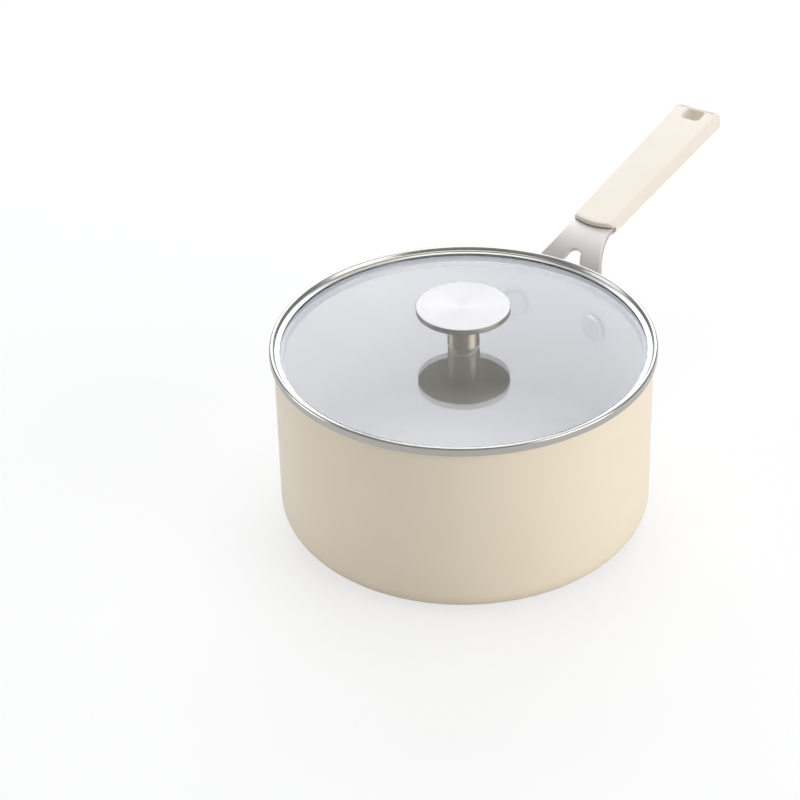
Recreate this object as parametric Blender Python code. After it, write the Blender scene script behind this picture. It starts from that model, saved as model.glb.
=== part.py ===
"""A 20 cm saucepan with a rimmed glass lid, a forked steel handle bracket and a moulded grip.

Metres, +Z up. The pan's axis is Z, its underside is at z = 0, and the handle points along +X.
"""

import math

import bmesh
import bpy
from mathutils import Matrix, Vector

MM = 0.001

# The driving dimensions, in millimetres.
GAP = 0.3
TOTAL_TO_LIP = 106.3  # floor to the top of the lid's lip

# Pot.
POT_OUTER_R = 100.3
POT_WALL = 1.5
POT_CORNER_R = 15.3
POT_UNDERSIDE_Z = 0.5
FLOOR_THICKNESS = 4.5
INNER_CORNER_R = 12.0
BASE_PLATE_R = 74.0
BASE_PLATE_THICKNESS = 1.7

# Lid rim, as a section measured out from the axis and down from the lip.
LIP_OUTER_R = 102.5
LIP_R = 1.25
FLANK_HEIGHT = 4.55
HEM_DEPTH = 2.1
SHEET = 0.6
SKIRT_OUTER_R = 98.5
HEM_INNER_R = 97.1
GUIDE_INNER_R = 95.0
GUIDE_DEPTH = 11.5

# Glass: a very slight dome.
GLASS_R = 97.6
GLASS_THICKNESS = 4.0
GLASS_RISE = 1.1  # its middle above its edge
GLASS_HOLE_R = 3.4

# Knob.
KNOB_R = 24.85
KNOB_DISC_THICKNESS = 3.2
KNOB_HEIGHT = 21.2  # lip to the top of the disc
STEM_R = 8.5
GASKET_THICKNESS = 1.0
STEM_LIFT = 0.5  # stem's foot above the glass; the seal sits in a recess in it
SCREW_SHANK_R = 1.7

# Handle: the grip's axis rises gently from the pan.
GRIP_START = Vector((139.9, 0.0, TOTAL_TO_LIP + 4.6))
GRIP_RISE = math.radians(6.9)
GRIP_LENGTH = 127.3
GRIP_HALF_WIDTHS = (13.2, 14.9)
GRIP_HALF_THICKNESSES = (4.3, 5.3)
GRIP_EDGE_R = 3.0
GRIP_LAP = 1.5  # how far the grip's near end laps over the bracket's neck at its edges
GRIP_BOW = 3.1  # and how much further at the middle
HANG_HOLE = (12.0, 10.5, 3.0)  # across, along, corner radius
HANG_HOLE_FROM_END = 9.5
TANG_LENGTH = 34.0
TANG_HALF_WIDTH = 8.0
SCREW_U = 18.0
GRIP_SCREW_R = 1.6
GRIP_SCREW_HEAD_R = 3.6

# Bracket.
PLATE = 2.5
RIVET_ANGLE = math.radians(15.7)
RIVET_Z = TOTAL_TO_LIP - 35.0
RIVET_SHANK_R = 2.4
PAD_R = 9.0

# Where the levels of the lid come from.
RIM_TOP_Z = TOTAL_TO_LIP - FLANK_HEIGHT - GAP
GLASS_EDGE_Z = TOTAL_TO_LIP - HEM_DEPTH - SHEET - GAP
GLASS_TOP_Z = GLASS_EDGE_Z + GLASS_RISE
GLASS_BOTTOM_Z = GLASS_TOP_Z - GLASS_THICKNESS
KNOB_TOP_Z = TOTAL_TO_LIP + KNOB_HEIGHT
POT_INNER_R = POT_OUTER_R - POT_WALL

FINE_STEPS = 72
SMALL_STEPS = 32


def clear_scene():
    for obj in list(bpy.data.objects):
        bpy.data.objects.remove(obj, do_unlink=True)


def material(name, colour, roughness, metallic=0.0, transmission=0.0):
    made = bpy.data.materials.new(name)
    made.use_nodes = True
    shader = made.node_tree.nodes["Principled BSDF"]
    shader.inputs["Base Color"].default_value = (*colour, 1.0)
    shader.inputs["Roughness"].default_value = roughness
    shader.inputs["Metallic"].default_value = metallic
    shader.inputs["Transmission Weight"].default_value = transmission
    return made


def add_object(name, mesh, finish, location=(0.0, 0.0, 0.0)):
    obj = bpy.data.objects.new(name, mesh)
    bpy.context.scene.collection.objects.link(obj)
    obj.location = Vector(location) * MM
    if finish:
        mesh.materials.append(finish)
        mesh.shade_smooth()
        mesh.set_sharp_from_angle(angle=math.radians(35))
    return obj


def mesh_from(name, points, faces):
    """A mesh from points in millimetres."""
    mesh = bpy.data.meshes.new(name)
    mesh.from_pydata([Vector(p) * MM for p in points], [], faces)
    mesh.update()
    return mesh


def arc(centre, radius, start, end, steps):
    """Points on an arc in the section plane, angles in degrees from the +R direction."""
    found = []
    for i in range(steps + 1):
        angle = math.radians(start + (end - start) * i / steps)
        found.append((centre[0] + radius * math.cos(angle), centre[1] + radius * math.sin(angle)))
    return found


def turned(name, section, finish, steps):
    """A closed section (radius, height), turned round Z. A radius of 0 is a point on the axis."""
    rings = []
    points = []
    for radius, height in section:
        if radius < 1e-6:
            rings.append([len(points)] * steps)
            points.append((0.0, 0.0, height))
            continue
        rings.append(list(range(len(points), len(points) + steps)))
        for i in range(steps):
            angle = 2 * math.pi * i / steps
            points.append((radius * math.cos(angle), radius * math.sin(angle), height))
    faces = []
    touches_axis = section[0][0] < 1e-6
    pairs = list(zip(rings, rings[1:]))
    if not touches_axis:
        pairs.append((rings[-1], rings[0]))
    for upper, lower in pairs:
        for i in range(steps):
            j = (i + 1) % steps
            corners = [upper[i], lower[i], lower[j], upper[j]]
            faces.append(list(dict.fromkeys(corners)))
    return add_object(name, mesh_from(name, points, faces), finish)


def cylinder(name, radius, start, end, steps=20):
    """A plain cutter cylinder from start to end, points in millimetres."""
    along = Vector(end) - Vector(start)
    turn = along.to_track_quat("Z", "Y").to_matrix().to_4x4()
    middle = Matrix.Translation((Vector(start) + Vector(end)) / 2)
    form = bmesh.new()
    bmesh.ops.create_cone(
        form,
        cap_ends=True,
        segments=steps,
        radius1=radius,
        radius2=radius,
        depth=along.length,
        matrix=middle @ turn,
    )
    bmesh.ops.scale(form, vec=(MM, MM, MM), verts=form.verts)
    mesh = bpy.data.meshes.new(name)
    form.to_mesh(mesh)
    form.free()
    return add_object(name, mesh, None)


def cut(obj, cutter):
    cutter.hide_render = True
    cutter.display_type = "WIRE"
    modifier = obj.modifiers.new("cut " + cutter.name, "BOOLEAN")
    modifier.operation = "DIFFERENCE"
    modifier.solver = "EXACT"
    modifier.object = cutter


def rivet_axis(side):
    """The outward direction of the rivet on this side of the handle, +1 left and -1 right."""
    angle = RIVET_ANGLE * side
    return Vector((math.cos(angle), math.sin(angle), 0.0))


def rivet_point(side, radius):
    return rivet_axis(side) * radius + Vector((0.0, 0.0, RIVET_Z))


def pan_body(finish):
    corner_z = POT_UNDERSIDE_Z + POT_CORNER_R
    corner_r = POT_OUTER_R - POT_CORNER_R
    floor_z = POT_UNDERSIDE_Z + FLOOR_THICKNESS
    inner_r = POT_INNER_R - 0.6
    recess_r = BASE_PLATE_R + GAP
    recess_z = BASE_PLATE_THICKNESS + GAP
    section = [(POT_OUTER_R - 0.9, RIM_TOP_Z), (POT_OUTER_R - 0.2, RIM_TOP_Z - 0.35)]
    section += [(POT_OUTER_R, RIM_TOP_Z - 1.2)]
    section += arc((corner_r, corner_z), POT_CORNER_R, 0, -90, 6)
    section += [(recess_r, POT_UNDERSIDE_Z), (recess_r, recess_z), (0.0, recess_z)]
    inside = [(0.0, floor_z)]
    inside += arc((inner_r - INNER_CORNER_R, floor_z + INNER_CORNER_R), INNER_CORNER_R, -90, 0, 5)
    inside += [(POT_INNER_R, RIM_TOP_Z - 8.0), (POT_INNER_R, RIM_TOP_Z - 0.5)]
    inside += [(POT_INNER_R + 0.4, RIM_TOP_Z)]
    # The section starts and ends on the axis, going up the inside and down the outside.
    body = turned("pan_body", inside + section, finish, FINE_STEPS)
    for side, word in ((1, "left"), (-1, "right")):
        start = rivet_point(side, POT_OUTER_R - 15)
        end = rivet_point(side, POT_OUTER_R + 15)
        cut(body, cylinder("pan_hole_" + word, RIVET_SHANK_R + GAP, start, end))
    return body


def base_plate(finish):
    section = [(0.0, BASE_PLATE_THICKNESS), (BASE_PLATE_R, BASE_PLATE_THICKNESS)]
    section += [(BASE_PLATE_R, 0.4), (BASE_PLATE_R - 0.4, 0.0), (0.0, 0.0)]
    return turned("induction_base_plate", section, finish, FINE_STEPS)


def lid_rim(finish):
    """The rolled ring: lip, flange over the pot's rim, channel round the glass and guide skirt."""
    top = TOTAL_TO_LIP
    shelf_z = top - HEM_DEPTH
    channel_top = shelf_z - SHEET
    channel_bottom = GLASS_EDGE_Z - GLASS_THICKNESS - GAP
    channel_r = GLASS_R + GAP
    lip_centre = (LIP_OUTER_R - LIP_R, top - LIP_R)
    section = [(HEM_INNER_R, shelf_z), (LIP_OUTER_R - 2 * LIP_R, shelf_z)]
    section += arc(lip_centre, LIP_R, 180, 0, 6)
    section += [(LIP_OUTER_R, top - FLANK_HEIGHT + 0.5), (LIP_OUTER_R - 0.5, top - FLANK_HEIGHT)]
    section += [(SKIRT_OUTER_R, top - FLANK_HEIGHT), (SKIRT_OUTER_R, channel_bottom - SHEET)]
    section += [(GUIDE_INNER_R + SHEET, channel_bottom - SHEET), (GUIDE_INNER_R + SHEET, top - GUIDE_DEPTH)]
    section += [(GUIDE_INNER_R, top - GUIDE_DEPTH), (GUIDE_INNER_R, channel_bottom)]
    section += [(channel_r, channel_bottom), (channel_r, channel_top), (HEM_INNER_R, channel_top)]
    return turned("lid_rim", section, finish, FINE_STEPS)


def lid_glass(finish):
    """A plate of even thickness whose faces both fall away from the middle as a parabola."""
    edge = 0.8
    rings = 6
    first, last = GLASS_HOLE_R, GLASS_R - edge
    radii = [first + (last - first) * i / rings for i in range(rings + 1)]
    top = [(r, GLASS_TOP_Z - GLASS_RISE * (r / GLASS_R) ** 2) for r in radii]
    bottom = [(r, z - GLASS_THICKNESS) for r, z in reversed(top)]
    side = [(GLASS_R, GLASS_EDGE_Z - edge), (GLASS_R, GLASS_EDGE_Z - GLASS_THICKNESS + edge)]
    return turned("lid_glass", top + side + bottom, finish, FINE_STEPS)


def knob(steel, seal):
    """Disc on a stem above the glass, with the seals, washer and screw that clamp it."""
    disc_bottom = KNOB_TOP_Z - KNOB_DISC_THICKNESS
    recess_r = 4.3
    recess_z = disc_bottom + 1.2
    spigot_r = recess_r - GAP
    edge = 0.5
    disc = [(0.0, KNOB_TOP_Z), (KNOB_R - edge, KNOB_TOP_Z), (KNOB_R - 0.15, KNOB_TOP_Z - 0.15)]
    disc += [(KNOB_R, KNOB_TOP_Z - edge), (KNOB_R, disc_bottom + edge), (KNOB_R - edge, disc_bottom)]
    disc += [(recess_r, disc_bottom), (recess_r, recess_z), (0.0, recess_z)]
    turned("knob_disc", disc, steel, 64)

    gasket_bottom = GLASS_TOP_Z + GAP
    gasket_top = gasket_bottom + GASKET_THICKNESS
    stem_bottom = GLASS_TOP_Z + STEM_LIFT
    seal_r = STEM_R - 1.1
    stem_top = disc_bottom - GAP
    bore_r = SCREW_SHANK_R + GAP
    bore_top = stem_top - 7.0
    stem = [(0.0, recess_z - GAP), (spigot_r, recess_z - GAP), (spigot_r, stem_top)]
    stem += [(STEM_R, stem_top), (STEM_R, stem_bottom + 0.5), (STEM_R - 0.5, stem_bottom)]
    stem += [(seal_r + GAP, stem_bottom), (seal_r + GAP, gasket_top + GAP), (bore_r, gasket_top + GAP)]
    stem += [(bore_r, bore_top), (0.0, bore_top)]
    turned("knob_stem", stem, steel, 40)

    upper = [(GLASS_HOLE_R, gasket_top), (seal_r, gasket_top)]
    upper += [(seal_r, gasket_bottom), (GLASS_HOLE_R, gasket_bottom)]
    turned("knob_gasket_upper", upper, seal, SMALL_STEPS)

    sleeve_r = GLASS_HOLE_R - GAP
    lower_top = GLASS_BOTTOM_Z - GAP
    lower_bottom = lower_top - GASKET_THICKNESS
    lower = [(bore_r, GLASS_TOP_Z - GAP), (sleeve_r, GLASS_TOP_Z - GAP), (sleeve_r, lower_top)]
    lower += [(STEM_R - 0.5, lower_top), (STEM_R - 0.5, lower_bottom), (bore_r, lower_bottom)]
    turned("knob_gasket_lower", lower, seal, SMALL_STEPS)

    washer_top = lower_bottom - GAP
    washer_bottom = washer_top - GASKET_THICKNESS
    washer = [(bore_r, washer_top), (STEM_R - 1.5, washer_top)]
    washer += [(STEM_R - 1.5, washer_bottom), (bore_r, washer_bottom)]
    turned("knob_washer", washer, steel, SMALL_STEPS)

    head_top = washer_bottom - GAP
    head_r = 3.9
    head_height = 2.4
    screw = [(0.0, bore_top - 2.0), (SCREW_SHANK_R, bore_top - 2.0), (SCREW_SHANK_R, head_top)]
    screw += [(head_r, head_top), (head_r, head_top - 1.2), (head_r - 1.2, head_top - head_height)]
    screw += [(0.0, head_top - head_height)]
    turned("knob_screw", screw, steel, SMALL_STEPS)


def rivet(side, word, finish):
    """One rivet: a broad flat head inside the pot, a shank and a domed head on the bracket."""
    inner_face = POT_INNER_R - 0.6 - GAP - 0.35
    outer_face = POT_OUTER_R + 2 * GAP + PLATE
    inner_head_r = 8.0
    outer_head_r = 5.0
    section = [(0.0, outer_face + 2.2), (2.4, outer_face + 2.0), (4.2, outer_face + 1.1)]
    section += [(outer_head_r, outer_face), (RIVET_SHANK_R, outer_face), (RIVET_SHANK_R, inner_face)]
    section += [(inner_head_r, inner_face), (inner_head_r - 0.3, inner_face - 0.9)]
    section += [(inner_head_r - 1.4, inner_face - 1.5), (0.0, inner_face - 1.6)]
    obj = turned("rivet_" + word, section, finish, 28)
    turn = rivet_axis(side).to_track_quat("Z", "Y").to_matrix().to_4x4()
    obj.data.transform(Matrix.Translation(Vector((0.0, 0.0, RIVET_Z)) * MM) @ turn)
    return obj


def path_points(count=200):
    """The bracket's centre line from the grip down to the pot's wall, as (x, z), and its lengths."""
    wall_x = POT_OUTER_R + GAP + PLATE / 2
    start = Vector((GRIP_START.x, GRIP_START.z))
    slope = math.tan(GRIP_RISE)
    ends = (
        start,
        Vector((start.x - 18.0, start.y - 18.0 * slope)),
        Vector((wall_x, TOTAL_TO_LIP - 14.0)),
        Vector((wall_x, TOTAL_TO_LIP - 27.0)),
    )
    points = []
    for i in range(count + 1):
        t = i / count
        s = 1 - t
        points.append(s**3 * ends[0] + 3 * s * s * t * ends[1] + 3 * s * t * t * ends[2] + t**3 * ends[3])
    lengths = [0.0]
    for a, b in zip(points, points[1:]):
        lengths.append(lengths[-1] + (b - a).length)
    return points, lengths


PATH, PATH_LENGTHS = path_points()


def on_path(v):
    """The centre line at the distance v from the grip: the tang before 0, the wall past the bend."""
    if v <= 0:
        along = Vector((math.cos(GRIP_RISE), math.sin(GRIP_RISE)))
        return PATH[0] - along * v
    if v >= PATH_LENGTHS[-1]:
        return PATH[-1] - Vector((0.0, v - PATH_LENGTHS[-1]))
    i = next(k for k, length in enumerate(PATH_LENGTHS) if length >= v)
    share = (v - PATH_LENGTHS[i - 1]) / (PATH_LENGTHS[i] - PATH_LENGTHS[i - 1])
    return PATH[i - 1].lerp(PATH[i], share)


PAD_V = PATH_LENGTHS[-1] + (PATH[-1].y - RIVET_Z)
PAD_Y = RIVET_ANGLE * (POT_OUTER_R + GAP + PLATE / 2)
APEX_V = 22.0
APEX_R = 4.0
SHOULDER_V = 0.4


def outer_edge(v):
    """Half the bracket's width at v: the tang, the neck that widens, then the round pad."""
    if v < SHOULDER_V:
        return TANG_HALF_WIDTH
    if v > PAD_V:
        return PAD_Y + math.sqrt(max(PAD_R**2 - (v - PAD_V) ** 2, 0.0))
    return min(12.3 + 0.0078 * v * v, PAD_Y + PAD_R)


def inner_edge(v):
    """The edge of the opening between the arms: a round apex, a straight flare, then the pad."""
    if v <= APEX_V:
        return 0.0
    if v > PAD_V:
        return PAD_Y - math.sqrt(max(PAD_R**2 - (v - PAD_V) ** 2, 0.0))
    round_part = math.sqrt(APEX_R**2 - min(v - APEX_V - APEX_R, 0.0) ** 2)
    flare_start = APEX_V + APEX_R
    flare = (PAD_Y - PAD_R - APEX_R) / (PAD_V - flare_start)
    return round_part + max(v - flare_start, 0.0) * flare


def bracket_point(v, w):
    """A point on the plate's mid surface: flat across at the grip, wrapped round the pot below."""
    wall_r = POT_OUTER_R + GAP + PLATE / 2
    share = min(max((v - 26.0) / (PATH_LENGTHS[-1] - 26.0), 0.0), 1.0)
    wrap = share * share * (3 - 2 * share)
    place = on_path(v)
    angle = w / wall_r
    x = place.x - wrap * wall_r * (1 - math.cos(angle))
    y = (1 - wrap) * w + wrap * wall_r * math.sin(angle)
    return (x, y, place.y)


def handle_bracket(finish):
    rows = [-TANG_LENGTH, -TANG_LENGTH / 2, SHOULDER_V - 0.1, SHOULDER_V, 6.0, 12.0, 17.0, 20.0]
    rows += [APEX_V + d for d in (0.0, 0.12, 0.5, 1.2, 2.4, APEX_R)]
    straight = 9
    rows += [APEX_V + APEX_R + (PAD_V - APEX_V - APEX_R) * i / straight for i in range(1, straight + 1)]
    rows += [PAD_V + PAD_R * math.sin(math.radians(a)) for a in (18, 36, 54, 70, 82)]
    columns = 4
    points = []
    grid = []
    for side in (1, -1):
        half = []
        for v in rows:
            line = []
            for c in range(columns + 1):
                w = inner_edge(v) + (outer_edge(v) - inner_edge(v)) * c / columns
                line.append(len(points))
                points.append(bracket_point(v, w * side))
            half.append(line)
        grid.append(half)
    faces = []
    for side, half in enumerate(grid):
        for upper, lower in zip(half, half[1:]):
            for c in range(columns):
                face = [upper[c], upper[c + 1], lower[c + 1], lower[c]]
                faces.append(face if side == 0 else face[::-1])
    mesh = mesh_from("handle_bracket", points, faces)
    form = bmesh.new()
    form.from_mesh(mesh)
    bmesh.ops.remove_doubles(form, verts=form.verts, dist=0.01 * MM)
    bmesh.ops.recalc_face_normals(form, faces=form.faces)
    form.to_mesh(mesh)
    form.free()
    obj = add_object("handle_bracket", mesh, finish)
    wall = obj.modifiers.new("plate", "SOLIDIFY")
    wall.thickness = PLATE * MM
    wall.offset = 0.0
    wall.use_even_offset = True
    for side, word in ((1, "left"), (-1, "right")):
        start = rivet_point(side, POT_OUTER_R - 15)
        end = rivet_point(side, POT_OUTER_R + 15)
        cut(obj, cylinder("bracket_hole_" + word, RIVET_SHANK_R + GAP, start, end))
    return obj


def grip_to_world(point):
    """A point in the grip's own frame (along, across, up from its axis) as millimetres in the world."""
    turn = Matrix.Rotation(-GRIP_RISE, 3, "Y")
    return turn @ Vector(point) + GRIP_START


def grip_section(u, shrink_w, shrink_t):
    """A rounded rectangle across the grip at the distance u from its near end."""
    share = min(max(u / GRIP_LENGTH, 0.0), 1.0)
    half_w = GRIP_HALF_WIDTHS[0] + (GRIP_HALF_WIDTHS[1] - GRIP_HALF_WIDTHS[0]) * share - shrink_w
    half_t = GRIP_HALF_THICKNESSES[0]
    half_t += (GRIP_HALF_THICKNESSES[1] - GRIP_HALF_THICKNESSES[0]) * share - shrink_t
    radius = min(GRIP_EDGE_R, half_t - 0.3)
    found = []
    quarters = ((1, 1, 0), (-1, 1, 90), (-1, -1, 180), (1, -1, 270))
    for sign_y, sign_z, start in quarters:
        centre = (sign_y * (half_w - radius), sign_z * (half_t - radius))
        found += arc(centre, radius, start, start + 90, 4)
    return [(u, y, z) for y, z in found]


def rounded_end(radius_w, radius_t, steps):
    """How far in from an end, and how much narrower and thinner, each rounding section is."""
    found = []
    for i in range(steps + 1):
        angle = math.radians(90 * i / steps)
        found.append((1 - math.sin(angle), 1 - math.cos(angle)))
    return [(radius_w * d, radius_w * s, radius_t * s) for d, s in found]


def bowed(point):
    """A grip point moved towards the pan as its near end bows out, by less and less along the grip."""
    u, y, z = point
    fade = min(max(1.0 - (u + GRIP_LAP) / 30.0, 0.0), 1.0)
    return (u - GRIP_BOW * fade * (1.0 - (y / GRIP_HALF_WIDTHS[0]) ** 2), y, z)


def grip(finish):
    near = rounded_end(1.0, 0.8, 3)[::-1]
    far = rounded_end(4.0, 2.4, 5)
    stations = [(d - GRIP_LAP, w, t) for d, w, t in near]
    stations += [(GRIP_LENGTH * k / 5, 0.0, 0.0) for k in (1, 2, 3, 4)]
    stations += [(GRIP_LENGTH - d, w, t) for d, w, t in far]
    rings = [[bowed(p) for p in grip_section(u, w, t)] for u, w, t in stations]
    count = len(rings[0])
    points = [grip_to_world(p) for ring in rings for p in ring]
    faces = [list(range(count))[::-1], [len(points) - count + i for i in range(count)]]
    for k in range(len(rings) - 1):
        for i in range(count):
            j = (i + 1) % count
            faces.append([k * count + i, k * count + j, (k + 1) * count + j, (k + 1) * count + i])
    obj = add_object("grip", mesh_from("grip", points, faces), finish)
    cut(obj, hang_hole_cutter())
    cut(obj, pocket_cutter())
    cut(obj, mouth_cutter())
    cut(obj, screw_hole_cutter())
    return obj


def prism(name, outline, low, high):
    """An outline in the grip's own frame, (along, across), extruded from low to high."""
    count = len(outline)
    points = [grip_to_world((u, y, low)) for u, y in outline]
    points += [grip_to_world((u, y, high)) for u, y in outline]
    faces = [list(range(count))[::-1], list(range(count, 2 * count))]
    for i in range(count):
        j = (i + 1) % count
        faces.append([i, j, count + j, count + i])
    return add_object(name, mesh_from(name, points, faces), None)


def hang_hole_cutter():
    across, along, radius = HANG_HOLE
    middle = GRIP_LENGTH - HANG_HOLE_FROM_END
    outline = []
    for sign_u, sign_y, start in ((1, 1, 0), (-1, 1, 90), (-1, -1, 180), (1, -1, 270)):
        centre = (middle + sign_u * (along / 2 - radius), sign_y * (across / 2 - radius))
        outline += arc(centre, radius, start, start + 90, 5)
    return prism("hang_hole", outline, -20.0, 20.0)


def pocket_cutter():
    end = TANG_LENGTH + GAP
    half = TANG_HALF_WIDTH + GAP
    outline = [(-5.0, -half), (end, -half), (end, half), (-5.0, half)]
    return prism("tang_pocket", outline, -PLATE / 2 - GAP, PLATE / 2 + GAP)


def mouth_cutter():
    """A slot across the near end, where the grip laps over the neck above and below it."""
    half = GRIP_HALF_WIDTHS[0] + 5.0
    outline = [(-12.0, -half), (GAP, -half), (GAP, half), (-12.0, half)]
    return prism("pocket_mouth", outline, -PLATE / 2 - GAP, PLATE / 2 + GAP)


def screw_hole_cutter():
    """A stepped hole up from the underside: the head's counterbore, then the shank's."""
    low = -GRIP_HALF_THICKNESSES[1] - 5.0
    head_seat = -GRIP_HALF_THICKNESSES[0] + 1.2
    section = [(0.0, 3.2), (GRIP_SCREW_R + GAP, 3.2), (GRIP_SCREW_R + GAP, head_seat)]
    section += [(GRIP_SCREW_HEAD_R + GAP, head_seat), (GRIP_SCREW_HEAD_R + GAP, low), (0.0, low)]
    obj = turned("screw_hole", section, None, 24)
    place_on_grip(obj, SCREW_U)
    return obj


def place_on_grip(obj, u):
    turn = Matrix.Rotation(-GRIP_RISE, 4, "Y")
    obj.data.transform(Matrix.Translation(grip_to_world((u, 0.0, 0.0)) * MM) @ turn)


def grip_screw(finish):
    head_seat = -GRIP_HALF_THICKNESSES[0] + 1.2 - GAP
    section = [(0.0, 2.8), (GRIP_SCREW_R, 2.8), (GRIP_SCREW_R, head_seat)]
    section += [(GRIP_SCREW_HEAD_R, head_seat), (GRIP_SCREW_HEAD_R, head_seat - 0.8)]
    section += [(0.0, head_seat - 0.8)]
    obj = turned("grip_screw", section, finish, 24)
    place_on_grip(obj, SCREW_U)
    return obj


def main():
    clear_scene()
    enamel = material("cream_enamel", (0.80, 0.74, 0.62), 0.45)
    moulded = material("cream_grip", (0.85, 0.80, 0.70), 0.5)
    steel = material("satin_steel", (0.62, 0.60, 0.57), 0.3, 1.0)
    clear = material("clear_glass", (0.92, 0.95, 0.96), 0.02, 0.0, 0.9)
    seal = material("milky_silicone", (0.61, 0.60, 0.57), 0.55)

    pan_body(enamel)
    base_plate(steel)
    bracket = handle_bracket(steel)
    cut(bracket, cylinder_through_tang())
    for side, word in ((1, "left"), (-1, "right")):
        rivet(side, word, steel)
    grip(moulded)
    grip_screw(steel)
    lid_glass(clear)
    lid_rim(steel)
    knob(steel, seal)


def cylinder_through_tang():
    start = grip_to_world((SCREW_U, 0.0, -8.0))
    end = grip_to_world((SCREW_U, 0.0, 8.0))
    return cylinder("tang_hole", GRIP_SCREW_R + GAP, start, end)


main()
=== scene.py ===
"""Looks of a 20 cm saucepan with a rimmed glass lid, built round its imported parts.

Metres, +Z up. The pan's axis is Z, it stands on z = 0, and its handle points along +X.
Sizes in a section are millimetres unless they say otherwise.
"""

import math

import bmesh
import bpy
import numpy as np
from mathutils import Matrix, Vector


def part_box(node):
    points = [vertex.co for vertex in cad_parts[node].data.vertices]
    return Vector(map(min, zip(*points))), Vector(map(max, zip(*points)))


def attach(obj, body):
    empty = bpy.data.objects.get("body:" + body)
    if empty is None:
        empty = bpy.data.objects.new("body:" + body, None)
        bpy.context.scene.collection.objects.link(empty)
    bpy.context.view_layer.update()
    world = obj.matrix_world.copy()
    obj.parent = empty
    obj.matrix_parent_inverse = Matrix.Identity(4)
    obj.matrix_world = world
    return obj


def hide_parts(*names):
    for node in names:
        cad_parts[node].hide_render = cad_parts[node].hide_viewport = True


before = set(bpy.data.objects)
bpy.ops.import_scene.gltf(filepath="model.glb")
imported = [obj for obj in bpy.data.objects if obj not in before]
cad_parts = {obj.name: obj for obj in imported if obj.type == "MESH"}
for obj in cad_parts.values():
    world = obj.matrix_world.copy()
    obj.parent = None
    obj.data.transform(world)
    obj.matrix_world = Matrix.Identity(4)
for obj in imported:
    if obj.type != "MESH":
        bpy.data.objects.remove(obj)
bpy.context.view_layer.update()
MM = 0.001


# ---------------------------------------------------------------------------------------------
# The studio. A pale table top with a broad soft light low behind the pan, which the glass lid
# mirrors, one overhead and one at each side. The camera looks down on the lid, handle far away.

VIEW_AZIMUTH = math.radians(-58.0)
VIEW_ELEVATION = math.radians(31.89)
VIEW_DISTANCE = 1.300  # metres
VIEW_TARGET = Vector((0.0038, -0.0140, 0.0996))
VIEW_ROLL = math.radians(-0.33)
LENS = 110.9
LENS_SHIFT = (-0.1125, -0.05625)

TABLE_SIDE = 30.0  # metres
TABLE_TINT = 0.80
TABLE_SEEN_TINT = 0.30
TABLE_GLOW = 0.67
SURROUND = (0.39, 0.40, 0.41)
WHITE = (1.0, 1.0, 1.0)


def from_pan(azimuth, elevation):
    """The unit direction from the pan to a camera or light at that azimuth and elevation."""
    level = math.cos(elevation)
    return Vector((math.sin(azimuth) * level, -math.cos(azimuth) * level, math.sin(elevation)))


def make_camera():
    data = bpy.data.cameras.new("camera")
    data.lens = LENS
    data.shift_x, data.shift_y = LENS_SHIFT
    data.clip_start = 0.05
    data.clip_end = 100.0
    camera = bpy.data.objects.new("camera", data)
    bpy.context.scene.collection.objects.link(camera)
    back = from_pan(VIEW_AZIMUTH, VIEW_ELEVATION)
    camera.location = VIEW_TARGET + back * VIEW_DISTANCE
    camera.rotation_euler = back.to_track_quat("Z", "Y").to_euler()
    camera.rotation_euler.rotate_axis("Z", VIEW_ROLL)
    bpy.context.scene.camera = camera


def add(tree, kind, inputs=None, **settings):
    """A node of one kind. inputs gives its sockets numbers, colours or the sockets that feed them."""
    node = tree.nodes.new(kind)
    for key, value in settings.items():
        setattr(node, key, value)
    for key, value in (inputs or {}).items():
        if isinstance(value, bpy.types.NodeSocket):
            tree.links.new(value, node.inputs[key])
        else:
            node.inputs[key].default_value = value
    return node


def maths(tree, operation, *values):
    """The result of a maths node. Each value is a number or a socket."""
    return add(tree, "ShaderNodeMath", dict(enumerate(values)), operation=operation).outputs[0]


def light_the_room():
    """A dim grey lights the pan from all round, and the camera sees white behind the table."""
    world = bpy.data.worlds.new("studio")
    world.use_nodes = True
    bpy.context.scene.world = world
    tree = world.node_tree
    tree.nodes.clear()
    lighting = add(tree, "ShaderNodeBackground", {"Color": (*SURROUND, 1.0), "Strength": 1.0})
    backdrop = add(tree, "ShaderNodeBackground", {"Color": (*WHITE, 1.0), "Strength": 1.0})
    seen = add(tree, "ShaderNodeLightPath")
    both = add(tree, "ShaderNodeMixShader", {0: seen.outputs["Is Camera Ray"], 1: lighting.outputs[0]})
    tree.links.new(backdrop.outputs[0], both.inputs[2])
    add(tree, "ShaderNodeOutputWorld", {"Surface": both.outputs[0]})


def soft_light(name, azimuth, elevation, distance, size, brightness, tint):
    """A flat rectangular light that faces the pan: watts are brightness times pi times area."""
    width, height = size
    data = bpy.data.lights.new(name, "AREA")
    data.shape = "RECTANGLE"
    data.size = width
    data.size_y = height
    data.color = tint
    data.energy = brightness * math.pi * width * height
    light = bpy.data.objects.new(name, data)
    bpy.context.scene.collection.objects.link(light)
    back = from_pan(math.radians(azimuth), math.radians(elevation))
    light.location = back * distance
    light.rotation_euler = back.to_track_quat("Z", "Y").to_euler()
    light.visible_camera = False


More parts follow.
